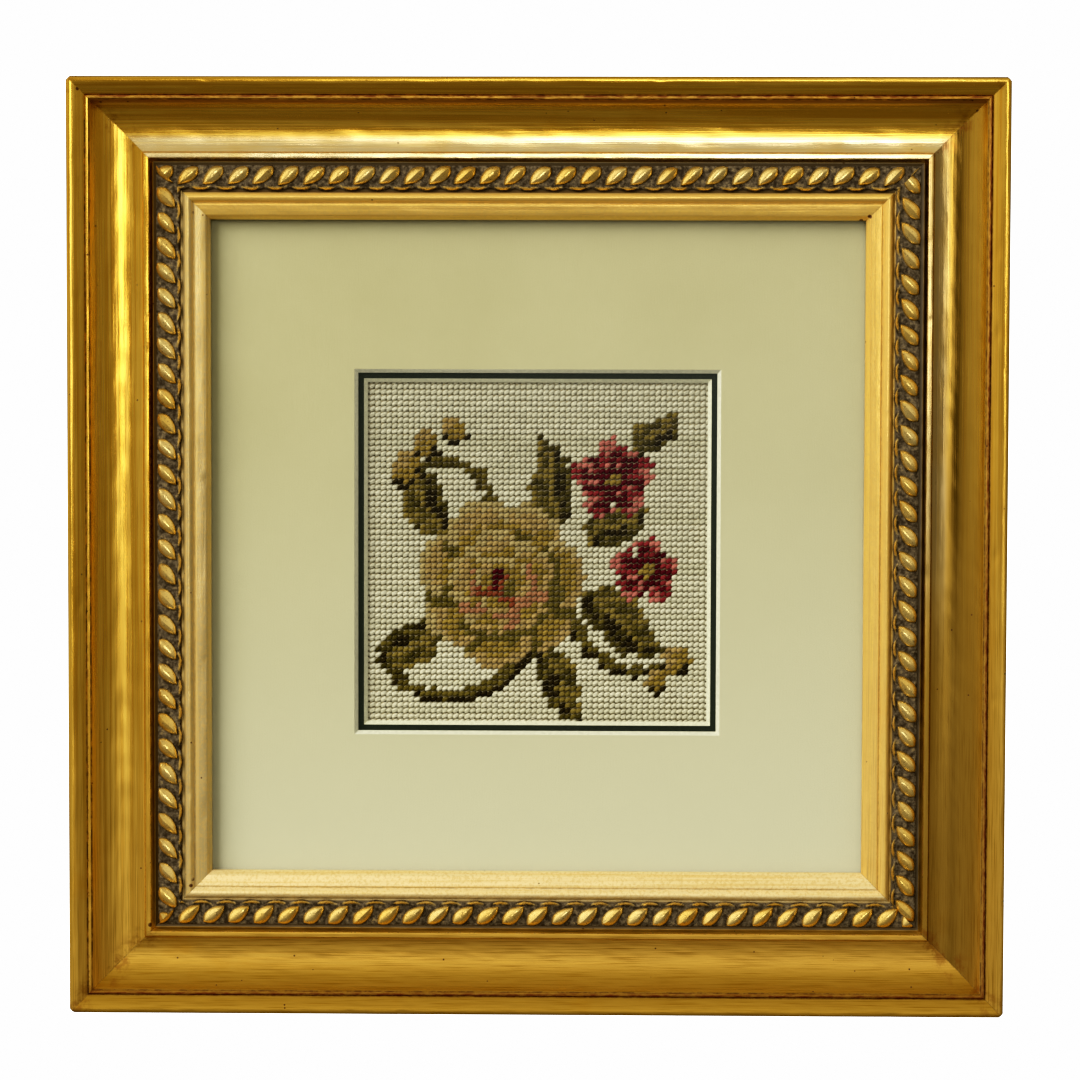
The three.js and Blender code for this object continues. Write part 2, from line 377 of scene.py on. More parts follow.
def gilding():
    finish = Finish("gilding")
    spot = RailSpot(finish)
    own_noise = spot.number * 3.7
    streaks = spot.drawn_out(own_noise, 9.0, 900.0, 3.0, 0.6)
    hairs = spot.drawn_out(own_noise, 45.0, 3200.0, 2.0)
    patches = spot.drawn_out(own_noise, 260.0, 900.0, 3.0, 0.7).span(0.38, 0.62)
    grain, mottle = finish.noise(2600.0, 3.0, 0.7), finish.noise(850.0, 3.0, 0.7)
    low = (finish.x * 0.3 - finish.z).span(0.12, 0.34)
    lip = spot.between(40.5, 42.0)
    leaf = leaf_gold(finish, spot, streaks, hairs, mottle, low, lip)

    near_mitre = spot.to_mitre.span(1.0 * MM, 11.0 * MM, 1.0, 0.0)
    rubbed = near_mitre * finish.noise(130.0, 4.0, 0.7).span(0.5, 0.66)
    leaf = finish.mix(rubbed * spot.between(29.0, 30.5, 0.5, 0.0), leaf, GOLD["rubbed"])
    toned_and_shaded, channel = toned_and_shaded_places(spot, patches)
    bottom_or_right = abs(spot.number - 1.5) > 1.0
    # Painted shade in the channel, dark on the top and left rails and paler grey on the bottom and right;
    # toning in the hollows and along the mitres
    toning = finish.mix(bottom_or_right, TONING_AND_SHADE["channel"], TONING_AND_SHADE["pale_channel_shade"])
    toning = finish.mix(channel, TONING_AND_SHADE["hollow"], toning)
    colour = finish.mix(toned_and_shaded * 0.92, leaf, toning)
    # This holds wear through to the clay, and painted shade on the outer fillets and the top rail's outer
    # cove
    worn = worn_and_shaded_places(finish, spot, patches, bottom_or_right)
    colour = finish.mix(worn, colour, CLAY_AND_SHADE)
    specks = finish.cells(210.0).span(0.05, 0.09, 1.0, 0.0) * finish.noise(60.0, 1.0).span(0.56, 0.6)
    chips = finish.cells(130.0).span(0.09, 0.13, 1.0, 0.0)
    specks = specks.at_least(chips * spot.to_mitre.span(3.0 * MM, 5.0 * MM, 1.0, 0.0))
    colour = finish.mix(specks, colour, CHIP)

    dull = toned_and_shaded.at_least(worn).at_least(specks)
    rough = low * 0.33 + 0.25 + lip * 0.05 + streaks.span(0.3, 0.7, -0.04, 0.07) + dull * 0.35
    height = streaks + hairs * 0.35 + (lip + 0.25) * grain * 0.5 + lip * mottle
    return finish.set(Base_Color=colour, Roughness=rough, Metallic=1.0 - lip * 0.35 - dull * 0.6,
                      Normal=finish.bump(height, 0.00011, 0.8))


def aged_gilding():
    """Leaf on the high places of the ornament, and a grey-brown toning left in its hollows."""
    finish = Finish("aged_gilding")
    mottle = finish.noise(700.0, 4.0, 0.7)
    level = (mottle - 0.5) * (1.1 * MM) - finish.y
    hollow = level.span(TONED_BELOW * MM, (TONED_BELOW + 0.5) * MM, 1.0, 0.0)
    # Darker ochre low on each leaf: partly toning left there, partly painted shade
    foot = level.span((TONED_BELOW + 0.25) * MM, (TONED_BELOW + 0.85) * MM, 0.65, 0.0)
    leaf = finish.mix(finish.noise(60.0, 3.0).span(0.3, 0.7), (0.93, 0.64, 0.20), (0.95, 0.74, 0.34))
    leaf = finish.mix(foot, leaf, (0.50, 0.32, 0.08))
    toning = finish.mix(mottle.span(0.35, 0.7), (0.045, 0.030, 0.015), (0.22, 0.175, 0.11))
    colour = finish.mix(hollow, leaf, toning)
    freckles = finish.noise(1500.0).span(0.62, 0.7, 0.0, 0.6)
    colour = finish.mix(freckles, colour, (0.10, 0.06, 0.03))
    return finish.set(Base_Color=colour, Metallic=0.9 - hollow * 0.55, Roughness=hollow * 0.3 + 0.27,
                      Normal=finish.bump(mottle, 0.0002, 0.6))


def bare_wood():
    """Plain sawn wood whose grain runs along each rail."""
    finish = Finish("bare_wood")
    spot = RailSpot(finish)
    rings = spot.drawn_out(finish.y * 130.0 + spot.number, 5.0, 130.0, 4.0, 0.62)
    pores = spot.drawn_out(finish.y * 2200.0, 60.0, 2200.0, 2.0)
    ramp = finish.node("ValToRGB", {0: rings})
    elements = ramp.color_ramp.elements
    elements.new(0.5)
    stops = ((0.28, (0.47, 0.29, 0.14)), (0.5, (0.62, 0.43, 0.24)), (0.72, (0.40, 0.23, 0.10)))
    for element, (place, colour) in zip(elements, stops):
        element.position, element.color = place, (*colour, 1)
    ringed = Value(finish, ramp.outputs[0])
    colour = finish.mix(pores.span(0.55, 0.75, 0.0, 0.45), ringed, (0.22, 0.12, 0.05))
    return finish.set(Base_Color=colour, Roughness=0.75, Normal=finish.bump(pores, 0.00012, 0.6))


def side_wash():
    finish = Finish("side_wash")
    brushed = finish.noise((60, 900, 60), 3.0, 0.6)
    clouds = finish.noise(45.0, 4.0, 0.65)
    colour = finish.mix(clouds.span(0.3, 0.7), (0.36, 0.20, 0.05), (0.50, 0.31, 0.09))
    scuffs = finish.noise(260.0, 3.0, 0.7).span(0.62, 0.7)
    return finish.set(Base_Color=finish.mix(scuffs, colour, (0.13, 0.06, 0.025)), Metallic=0.35,
                      Roughness=0.55, Normal=finish.bump(brushed, 0.00012, 0.6))


# How far under the frame's middle the mats begin to turn lighter, and where they are lightest: painted
# light, lighter towards the bottom and the right
PAINTED_LIGHT_START, PAINTED_LIGHT_END = -0.12, 0.18


def board(name, colour, darker, painted_light_colour, bevel, window):
    """Mat board: a paper face over a pale core that shows on the window's cut edge."""
    finish = Finish(name)
    fibres = finish.noise((2400, 500, 260), 3.0, 0.65)
    felt = finish.noise(900.0, 3.0, 0.6)
    face = finish.mix(finish.noise(14.0, 4.0, 0.6).span(0.3, 0.75), colour, darker)
    face = finish.mix(fibres.span(0.3, 0.7, 0.0, 0.5), face, darker)
    lower = finish.x * 0.2 - finish.z
    # Painted light: the face turns lighter towards the bottom and the right
    face = finish.mix(lower.span(PAINTED_LIGHT_START - MIDDLE, PAINTED_LIGHT_END - MIDDLE), face, painted_light_colour)
    rise = finish.z - (MIDDLE - WINDOW_DROP * MM)
    wide = abs(finish.x).at_least(abs(rise))
    cut = wide.span((window / 2 - 0.06) * MM, window / 2 * MM, 1.0, 0.0)
    core = finish.mix(felt.span(0.3, 0.7), bevel, tuple(0.86 * c for c in bevel))
    return finish.set(Base_Color=finish.mix(cut, face, core), Roughness=0.88, Specular_IOR_Level=0.25,
                      Normal=finish.bump(fibres + felt, 0.00008, 0.5))


def clear_glass():
    finish = Finish("clear_glass")
    finish.tree.nodes.remove(finish.shader)
    ripple = finish.bump(finish.noise(9.0, 1.0), 0.0001, 0.2)
    through = finish.out("BsdfTransparent", {"Color": (0.972, 0.978, 0.966)})
    gloss = finish.out("BsdfGlossy", {"Color": (1, 1, 1), "Roughness": 0.25, "Normal": ripple})
    share = finish.out("Fresnel", {"IOR": 1.45, "Normal": ripple})
    whole = finish.out("MixShader", {0: share * 0.15, 1: through, 2: gloss})
    finish.put(finish.tree.nodes["Material Output"].inputs["Surface"], whole)
    return finish.material


def yarn(name, colour, spread=0.12):
    """Wool: plies that wind round each slanted stitch, soft fibres, for each stitch its own tint, and
    painted light that makes it lighter towards the bottom.
    """
    finish = Finish(name)
    fibres = finish.noise((900, 3000, 5200), 3.0, 0.65, finish.turned((0, math.radians(45), 0)))
    wave = {"Vector": finish.turned((0, math.radians(12), 0)), "Scale": 330.0, "Distortion": 3.0,
            "Detail": 2.0, "Detail Scale": 1.5}
    plies = finish.out("TexWave", wave, 1, bands_direction="Z")
    own = finish.out("NewGeometry", output="Random Per Island")
    # Each stitch's own tint, times painted light: darker at the top of the window and lighter towards the
    # bottom
    shade = (own * (2 * spread) + (1 - spread)) * finish.z.span(MIDDLE + 0.06, MIDDLE - 0.07, 0.93, 1.12)
    base = finish.mix(fibres.span(0.25, 0.75), tuple(0.72 * c for c in colour), colour)
    shade = finish.out("CombineXYZ", {0: shade, 1: shade, 2: shade})
    base = finish.mix(1.0, base, shade, "MULTIPLY")
    return finish.set(Base_Color=base, Roughness=0.85, Sheen_Weight=0.3, Sheen_Roughness=0.5,
                      Sheen_Tint=colour, Specular_IOR_Level=0.1,
                      Normal=finish.bump(plies * 0.6 + fibres, 0.00016, 0.8))


def canvas_weave():
    finish = Finish("canvas_weave")
    wave = {"Vector": finish.place, "Scale": 1 / (STITCH_PITCH * MM) / 3.2, "Distortion": 0.4}
    warp, weft = (finish.out("TexWave", wave, 1, bands_direction=way) for way in "XZ")
    threads = warp.at_least(weft)
    colour = finish.mix(threads, (0.14, 0.11, 0.06), (0.55, 0.47, 0.31))
    return finish.set(Base_Color=colour, Roughness=0.9, Normal=finish.bump(threads, 0.0003, 0.8))


def brown_board():
    finish = Finish("brown_board")
    fibres = finish.noise((420, 900, 1500), 4.0, 0.7)
    colour = finish.mix(fibres.span(0.3, 0.7), (0.20, 0.125, 0.06), (0.33, 0.22, 0.12))
    clouds = finish.noise(18.0, 3.0).span(0.45, 0.8, 0.0, 0.4)
    return finish.set(Base_Color=finish.mix(clouds, colour, (0.16, 0.10, 0.05)), Roughness=0.85,
                      Normal=finish.bump(fibres, 0.0001, 0.6))


def steel():
    finish = Finish("steel")
    rolled = finish.noise((300, 300, 6000), 3.0)
    colour = finish.mix(rolled.span(0.3, 0.7), (0.42, 0.42, 0.43), (0.62, 0.62, 0.63))
    rust = finish.noise(500.0, 3.0, 0.7).span(0.62, 0.72, 0.0, 0.7)
    return finish.set(Base_Color=finish.mix(rust, colour, (0.16, 0.07, 0.03)), Metallic=0.9,
                      Roughness=rolled.span(0.2, 0.8, 0.3, 0.5), Normal=finish.bump(rolled, 0.00004, 0.5))


def on_curve(s, *corners):
    return tuple((1 - s) ** 2 * a + 2 * s * (1 - s) * b + s * s * c for a, b, c in zip(*corners))


def curve_points(start, control, end, count):
    """Points of a quadratic curve after its start."""
    return [on_curve((i + 1) / count, start, control, end) for i in range(count)]


def softened(points, reach, over=math.radians(22)):
    """The closed outline with each corner sharper than over rounded off within that reach."""
    rounded = []
    for i, here in enumerate(points):
        before = Vector(points[i - 1]) - Vector(here)
        after = Vector(points[(i + 1) % len(points)]) - Vector(here)
        bend = math.pi - before.angle(after)
        cut = min(reach, 0.3 * before.length, 0.3 * after.length)
        if bend < over or cut < 0.04:
            rounded.append(here)
            continue
        first = tuple(Vector(here) + before.normalized() * cut)
        last = tuple(Vector(here) + after.normalized() * cut)
        rounded += [first] + curve_points(first, here, last, 3)
    return rounded


def rail_section():
    """The fine section of a rail as (distance in from the outer edge, depth), in millimetres."""
    cove, steps = [], 33
    for i in range(steps + 1):
        distance = COVE["start"] + (COVE["end"] - COVE["start"]) * i / steps
        angle = math.asin((distance - COVE["low"]) / COVE["radius"])
        cove.append((distance, COVE["depth"] + COVE["radius"] * (1 - math.cos(angle))))
    roll_end = (EDGE_ROLL["end"], EDGE_ROLL["depth"])
    bead_end = (OUTER_BEAD["end"], OUTER_BEAD["depth"])
    outline = [(0, 0), (0, SIDE_TOP)]
    outline += curve_points((0, SIDE_TOP), (0, EDGE_ROLL["crest"]), roll_end, 9)
    outline += curve_points(roll_end, (OUTER_BEAD["middle"], OUTER_BEAD["crest"]), bead_end, 13)
    outline.append((QUIRK["middle"], QUIRK["depth"]))
    outline += [(OUTER_FILLET[end], OUTER_FILLET["depth"]) for end in ("start", "end")] + cove
    outline += [(INNER_FILLET[end], INNER_FILLET["depth"]) for end in ("start", "end")]
    outline += [(CHANNEL[end], CHANNEL["depth"]) for end in ("start", "middle", "end")]
    outline += curve_points(outline[-1], (OGEE["middle"], OGEE["crest"]), (OGEE["end"], OGEE["depth"]), 12)
    outline += [(LIP["groove"], OGEE["depth"] - 0.15), (LIP["start"], LIP["high"])]
    outline += curve_points(outline[-1], (LIP["middle"], LIP["crest"]), (LIP["ridge"], LIP["low"]), 7)
    outline += [(RAIL_WIDTH, LIP["sight"]), (RAIL_WIDTH, LEDGE_DEPTH)]
    outline += [(REBATE_WALL, LEDGE_DEPTH), (REBATE_WALL, 0)]
    return softened(outline, EDGE_SOFTNESS)


def rail(place, turns, materials):
    """A mitred rail, its front a little uneven along its length, with small dents on the raised edges."""
    rng = random.Random(SEED + turns)
    section = np.array(rail_section())
    inwards, depth = section[:, 0], section[:, 1]
    shares = np.linspace(-1, 1, RAIL_STEPS + 1)[:, None]
    along = shares * (HALF / MM - inwards - MITRE_GAP * math.sqrt(2))[None, :]
    inwards, depth = (np.repeat(each[None, :], RAIL_STEPS + 1, 0) for each in (inwards, depth))
    front = (depth > LEDGE_DEPTH + 1.5) & (inwards > 0.01)
    lift = sum(height * wave_sum(rng, *waves)(along, inwards) for height, *waves in SWELLS)
    for _ in range(DENT["count"]):
        where, edge = rng.uniform(*DENT["along"]), rng.choice(DENT_EDGES)
        reach, deep = rng.uniform(*DENT["reach"]), rng.uniform(*DENT["depth"])
        away = ((along - where) / reach) ** 2 + ((inwards - edge) / DENT["width"]) ** 2
        lift -= deep * np.exp(-away)
    depth = depth + np.where(front, lift, 0)
    for end in (0, -1):
        worn = CORNER_WEAR["deep"] * np.clip(1 - inwards[end] / CORNER_WEAR["wide"], 0, 1)
        inwards[end] += worn
        along[end] -= worn * np.sign(along[end])
    points = np.stack([along, -depth, HALF / MM - inwards], 2).reshape(-1, 3) * MM

    # Materials by number: the gilding 0, the wash on the outer side 1, and bare wood 2
    count = len(section)
    faces, finish_of = [], []
    for j in range(count):
        following = (j + 1) % count
        from_edge, height = (section[j] + section[following]) / 2
        washed = from_edge < 0.1 and height < SIDE_TOP
        finish_of += [1 if washed else 2 if height < LEDGE_DEPTH + 0.3 else 0] * RAIL_STEPS
        for a in range(0, RAIL_STEPS * count, count):
            faces.append((a + j, a + following, a + count + following, a + count + j))
    for cap in (range(count), range(RAIL_STEPS * count, (RAIL_STEPS + 1) * count)):
        faces.append(tuple(cap))
        finish_of.append(2)
    obj = mesh_object(f"moulding_{place}", on_side(points, turns), faces, RAIL_SHARP, finish_of)
    return add_piece(obj, "gilding", materials, f"rail_{place}")


def closed_grid(rows, columns):
    """Faces of a grid of points, of a second grid like it, and of the rim between the two."""
    across, under = columns + 1, (rows + 1) * (columns + 1)
    corners = [i * across + j for i in range(rows) for j in range(columns)]
    faces = [(a, a + 1, a + across + 1, a + across) for a in corners]
    faces += [tuple(under + k for k in reversed(face)) for face in faces]
    rim = list(range(across)) + [i * across + columns for i in range(1, rows + 1)]
    rim += [rows * across + j for j in range(columns - 1, -1, -1)]
    rim += [i * across for i in range(rows - 1, 0, -1)]
    return faces + [(a, under + a, under + b, b) for a, b in zip(rim, rim[1:] + rim[:1])]


def leaf_shell(rng):
    """A leaf of the rope as a closed shell, in its own millimetres: along its axis, across it, and up."""
    lengths, widths = 18, 10
    long = LEAF["half_length"] * rng.uniform(0.96, 1.03)
    wide = LEAF["half_width"] * rng.uniform(0.93, 1.05)
    bow = rng.uniform(0.1, 0.3)
    ridge_at = rng.uniform(-0.1, 0.12)
    wall = rng.uniform(0.34, 0.44)
    points = []
    for i in range(lengths + 1):
        share = -math.cos(math.pi * i / lengths)
        skewed = share - LEAF["skew"] * (1 - share * share)
        crest = LEAF["height"] * (0.25 + 0.75 * max(1 - abs(share) ** 3.2, 0.0) ** 0.7)
        bend = bow * math.sin(math.pi * share)
        for j in range(widths + 1):
            side = -math.cos(math.pi * j / widths)
            fullest = share if side > 0 else skewed
            width = wide * max(1 - abs(fullest) ** LEAF["tip"], 0.0) ** LEAF["belly"] + 0.04
            from_ridge = (side - ridge_at) / ((1 - ridge_at) if side > ridge_at else (1 + ridge_at))
            roof = 1 - abs(from_ridge) ** 1.2
            upright = max(1 - side * side, 0.0) ** 0.3
            up = crest * (wall * upright + (1 - wall) * roof) if 0 < j < widths else 0.0
            points.append((share * long, width * side + bend, up - LEAF["sunk"]))
    points += [(x, y, -LEAF["sunk"] - 0.2) for x, y, _ in points]
    return points, closed_grid(lengths, widths)


def strip_shell(rng, first, leaves):
    """The rope's strip in the top rail's lengths: a low raised rim runs along its scalloped inner edge."""
    back = CHANNEL["depth"] + ROPE["gap"]
    wobble = wave_sum(rng, 8, 0.25, 0.5)
    steps_each, columns = 12, 12
    steps = leaves * steps_each
    points = []
    for i in range(steps + 1):
        t = first + LEAF["pitch"] * i / steps_each
        share = (i % steps_each) / steps_each
        inner = ROPE["end"] + 4 * ROPE["scallop"] * share * (1 - share)
        for j in range(columns + 1):
            inwards = ROPE["start"] + (inner - ROPE["start"]) * j / columns
            rim = math.exp(-((inner - ROPE["rim_in"] - inwards) / ROPE["rim_width"]) ** 2)
            lift = ROPE["rim"] * rim * (4 * share * (1 - share)) ** 2 + ROPE["uneven"] * wobble(t, inwards)
            fall = ROPE["fall"] if j in (0, columns) else 0
            points.append((t, inwards, back + ROPE["thickness"] - fall + lift))
    points += [(t, inwards, back) for t, inwards, _ in points]
    return [(t, -depth, HALF / MM - inwards) for t, inwards, depth in points], closed_grid(steps, columns)


def cut_at_mitres(build):
    """Cuts the top rail's ornament off along both mitres, and closes what the cut opens."""
    for side in (-1, 1):
        everything = build.verts[:] + build.edges[:] + build.faces[:]
        away = Vector((side, 0, -1)).normalized()
        cut = bmesh.ops.bisect_plane(build, geom=everything, dist=1e-7, plane_co=-away * MITRE_GAP * MM,
                                     plane_no=away, clear_outer=True)
        rims = [e for e in cut["geom_cut"] if isinstance(e, bmesh.types.BMEdge)]
        bmesh.ops.edgeloop_fill(build, edges=rims)


def rope(place, turns, material):
    rng = random.Random(SEED + 40 + turns)
    edge = HALF / MM
    each_side = math.floor((edge - ROPE["start"]) / LEAF["pitch"])
    first = ROPE_SHIFT[place] - each_side * LEAF["pitch"]
    leaves = 2 * each_side
    front = CHANNEL["depth"] + ROPE["gap"] + ROPE["thickness"] - LEAF["sunk"] / 2
    points, faces = strip_shell(rng, first - 2 * LEAF["pitch"], leaves + 4)
    for i in range(leaves + 1):
        slant = LEAF["slant"] + rng.uniform(-0.05, 0.05)
        middle = first + i * LEAF["pitch"] + rng.uniform(-0.12, 0.12)
        inwards = LEAF["middle"] + rng.uniform(-0.12, 0.12)
        shell, sides = leaf_shell(rng)
        start = len(points)
        cos, sin = math.cos(slant), math.sin(slant)
        points += [(middle + along * cos - across * sin, -(front + up),
                    edge - inwards + along * sin + across * cos) for along, across, up in shell]
        faces += [tuple(start + k for k in face) for face in sides]
    obj = mesh_object(f"leaf_rope_{place}", np.array(points) * MM, faces)
    build = bmesh.new()
    build.from_mesh(obj.data)
    cut_at_mitres(build)
    bmesh.ops.recalc_face_normals(build, faces=build.faces)
    shade_by_angle(build, ROPE_SHARP)
    for vert, spot in zip(build.verts, on_side([v.co for v in build.verts], turns)):
        vert.co = spot
    build.to_mesh(obj.data)
    build.free()
    return add_piece(obj, "aged_gilding", [material], f"rope_{place}")


def square_loop(half, middle, depth, steps):
    """Points round a square in the picture's plane, from its top left corner clockwise."""
    shares = [-1 + 2 * i / steps for i in range(steps)]
    flat = [(s, 1) for s in shares] + [(1, -s) for s in shares] + [(-s, -1) for s in shares]
    flat += [(-1, s) for s in shares]
    return [(half * x, -depth, middle + half * z) for x, z in flat]


def mat(name, node, window, slot, material):
    """Mat board with a bevelled window. Its face is a little uneven, as pressed paper board is."""
    low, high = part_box(node)
    back, thickness = -high.y, high.y - low.y
    outer, steps = (high.x - low.x) / 2, 44
    inner = window / 2 * MM
    drop = MIDDLE - WINDOW_DROP * MM
    loops = [(outer, MIDDLE, back), (outer, MIDDLE, back + thickness)]
    for share in MAT_LOOPS:
        middle = MIDDLE + (drop - MIDDLE) * share
        loops.append((outer + (inner - outer) * share, middle, back + thickness))
    loops.append((inner - BEVEL_EDGE["in"] * thickness, drop, back + BEVEL_EDGE["up"] * thickness))
    loops.append((inner - thickness, drop, back))
    wobble = wave_sum(random.Random(SEED + len(name)), 7, 0.012, 0.012)
    points = []
    for number, (half, middle, depth) in enumerate(loops):
        for x, y, z in square_loop(half, middle, depth, steps):
            lift = MAT_UNEVEN * MM * wobble(x / MM, z / MM) if 1 < number < len(loops) - 2 else 0
            points.append((x, y - lift, z))
    around = 4 * steps
    faces = []
    for i in range(len(loops)):
        here, after = i * around, (i + 1) % len(loops) * around
        for j in range(around):
            k = (j + 1) % around
            faces.append((here + j, here + k, after + k, after + j))
    obj = mesh_object(name, points, faces, MAT_SHARP)
    return add_piece(obj, slot, [material], node)


def petal_colour(away, rise, light):
    """A petal's yarn, pale at its rim and deeper towards its foot, all a tone down on the dark side."""
    tones = ("cream", "tan", "gold", "olive")
    tone = 0 if away > 0.72 and rise > -0.2 else 1 if rise > 0.05 else 2
    if light < -0.3 or light < 0.15 and tone == 1 and rise < 0.45:
        tone += 1
    return tones[tone]


def bloom(x, z, cx, cz, radius):
    """A full round flower: overlapping petals about a small dark middle, lit from the upper left."""
    x, z = (x - cx) / radius, (z - cz) / radius
    if math.hypot(x + 0.02, z - 0.05) < 0.1:
        return "crimson" if x < z else "brick"
    shaded = False
    rounds = ((3, 0.16, 0.19, 0.1, "brick"), (5, 0.36, 0.27, 0.35, "blush"), (7, 0.66, 0.34, 0.15, "olive"))
    for count, reach, size, offset, dark in rounds:
        for number in range(count):
            turn = math.tau * (number + offset) / count
            px, pz = x - reach * math.cos(turn), z - reach * math.sin(turn)
            along = px * math.cos(turn) + pz * math.sin(turn)
            across = pz * math.cos(turn) - px * math.sin(turn)
            away = math.hypot(along * 1.08, across * 0.86) / size
            light = 0.75 * math.cos(turn - math.radians(130)) + 0.6 * (pz - px) / size
            if away < 1:
                return dark if shaded else petal_colour(away, along / size, light)
            if away * size < size + 0.085 and px * 0.6 - pz * 0.8 > -0.35 * size:
                shaded = True
    return None


def blossom(x, z, cx, cz, radius, offset):
    """A small open flower of five notched petals, pink at their edges and streaked, with a gold eye."""
    away, turn = math.hypot(x - cx, z - cz) / radius, math.atan2(z - cz, x - cx) - offset
    lobe = abs(math.cos(2.5 * turn))
    notch = 0.09 * max(0.0, 1 - abs(math.sin(2.5 * turn)) / 0.22)
    if away > 0.5 + 0.5 * lobe ** 0.6 - notch:
        return None
    if away < 0.17:
        return "gold"
    if away < 0.3:
        return "crimson"
    streak = math.sin(7.5 * turn + 5 * away)
    if lobe < 0.3:
        return "crimson"
    if away > 0.72:
        return "rose" if streak > -0.3 else "deep_rose"
    return "rose" if streak > 0.75 else "deep_rose" if streak > -0.1 else "crimson"


def leaf_motif(x, z, cx, cz, length, width, angle, teeth):
    """A pointed leaf from its stalk end at cx, cz. One half is dark, the other lighter, with pale veins."""
    angle = math.radians(angle)
    along = (x - cx) * math.cos(angle) + (z - cz) * math.sin(angle)
    across = (z - cz) * math.cos(angle) - (x - cx) * math.sin(angle)
    share = along / length
    if not -0.05 <= share <= 1:
        return None
    across -= 0.12 * width * math.sin(math.tau * share)
    edge = width * 2.1 * max(share + 0.05, 0) ** 0.6 * (1 - share) ** 0.85
    edge *= 1 - teeth * ((share * 5) % 1)
    if abs(across) > edge + 0.15:
        return None
    if abs(across) < 0.55 and share < 0.8:
        return "fern"
    vein = math.sin(1.15 * (along - 1.3 * abs(across)))
    if across > 0:
        return "fern" if vein > 0.75 or across > 0.8 * edge else "olive" if vein > -0.35 else "moss"
    return "olive" if vein > 0.85 else "moss" if across < -0.75 * edge or vein > 0.3 else "bark"


def stem_motif(x, z, path, width, colour, shadow):
    """A stem along a quadratic curve, darker on its lower side."""
    places, steps = [], 48
    for i in range(steps + 1):
        px, pz = on_curve(i / steps, *path)
        places.append((math.hypot(x - px, z - pz), z - pz, i / steps))
    away, above, share = min(places, key=lambda place: place[0])
    if away > width * (1 - 0.35 * share):
        return None
    return shadow if above < -0.25 * width else colour


def bud(x, z, cx, cz, radius):
    away = math.hypot(x - cx, (z - cz) * 0.85)
    if away > radius:
        return None
    if x - cx + cz - z < -0.4 * radius:
        return "tan"
    return "bark" if away > 0.72 * radius and z < cz else "gold"


# The spray in stitches counted from the window's middle, what lies nearer the front first. A leaf has its
# stalk end, length, width, turn in degrees and teeth. A stem has its three points, its width and two yarns.
MOTIFS = (
    (blossom, 13.5, 13.0, 7.6, 0.4), (blossom, 19.5, -3.5, 6.4, 1.5), (bloom, -6.5, -5.5, 15.5),
    (bud, -23.5, 14.5, 2.7), (bud, -20.0, 19.0, 2.5), (bud, -14.8, 21.6, 2.4),
    (bud, 25.0, -19.5, 2.4), (bud, 21.5, -23.0, 2.2),
    (leaf_motif, 4.0, 6.0, 15.0, 4.6, 103, 0.16), (leaf_motif, 9.0, -8.0, 17.0, 5.6, -38, 0.16),
    (leaf_motif, 1.0, -18.0, 14.0, 4.4, -62, 0.12), (leaf_motif, -17.0, 4.0, 14.0, 4.8, 122, 0.16),
    (leaf_motif, -18.0, -14.0, 12.5, 4.6, 212, 0.12), (leaf_motif, 17.0, 18.0, 10.5, 3.3, 38, 0.1),
    (leaf_motif, 9.0, 2.0, 12.0, 4.0, 28, 0.1),
    (stem_motif, ((-8, 8), (-12, 22), (-26, 12)), 1.0, "olive", "moss"),
    (stem_motif, ((6, -12), (14, -27), (26, -18)), 1.3, "olive", "bark"),
    (stem_motif, ((-2, -18), (-10, -30), (-24, -24)), 1.5, "olive", "bark"),
    (stem_motif, ((-24, -24), (-27, -20), (-22, -19)), 1.2, "moss", "bark"),
)


def design(x, z):
    """The yarn at a stitch, where a motif has one there."""
    return next(filter(None, (motif(x, z, *values) for motif, *values in MOTIFS)), None)


# Yarns by name, and how much one stitch differs from the next
YARNS = {
    "ivory": ((0.670, 0.632, 0.490), 0.06),
    "pale_ivory": ((0.705, 0.668, 0.527), 0.06),
    "warm_ivory": ((0.630, 0.595, 0.452), 0.06),
    "cream": ((0.450, 0.355, 0.175), 0.12),
    "tan": ((0.405, 0.290, 0.125), 0.16),
    "gold": ((0.300, 0.210, 0.055), 0.18),
    "fern": ((0.240, 0.180, 0.052), 0.18),
    "olive": ((0.150, 0.116, 0.030), 0.2),
    "moss": ((0.085, 0.067, 0.018), 0.2),
    "bark": ((0.035, 0.025, 0.009), 0.2),
    "blush": ((0.400, 0.200, 0.110), 0.16),
    "brick": ((0.270, 0.080, 0.040), 0.2),
    "rose": ((0.500, 0.180, 0.150), 0.14),
    "deep_rose": ((0.250, 0.035, 0.040), 0.18),
    "crimson": ((0.095, 0.006, 0.014), 0.2),
}
STITCH = {"half_length": 1.52, "half_width": 0.83, "slant": 30, "crest": 0.96, "rings": 8, "sides": 8,
          "end_ring": 0.93, "foot": 0.55, "over_canvas": 0.15}


def stitch_shape():
    """One tent stitch in its own lengths: along its slant, across it and up, with its closed faces."""
    rings, sides = STITCH["rings"], STITCH["sides"]
    end, foot = STITCH["end_ring"], STITCH["foot"]
    points = [(-1.0, 0.0, -foot)]
    for i in range(rings):
        share = -end + 2 * end * i / (rings - 1)
        full = (1 - abs(share) ** 3.2) ** 0.55
        rise = (1 - abs(share) ** 2.8) ** 0.6
        for j in range(sides):
            turn = math.tau * j / sides
            points.append((share, math.cos(turn) * full, rise - foot + foot * full * math.sin(turn)))
    points.append((1.0, 0.0, -foot))
    last = len(points) - 1
    faces = []
    for j in range(sides):
        k = (j + 1) % sides
        faces.append((0, 1 + j, 1 + k))
        faces.append((last, last - sides + k, last - sides + j))
        for i in range(rings - 1):
            a = 1 + i * sides
            faces.append((a + j, a + sides + j, a + sides + k, a + k))
    return np.array(points), np.array([f + (f[0],) * (4 - len(f)) for f in faces])


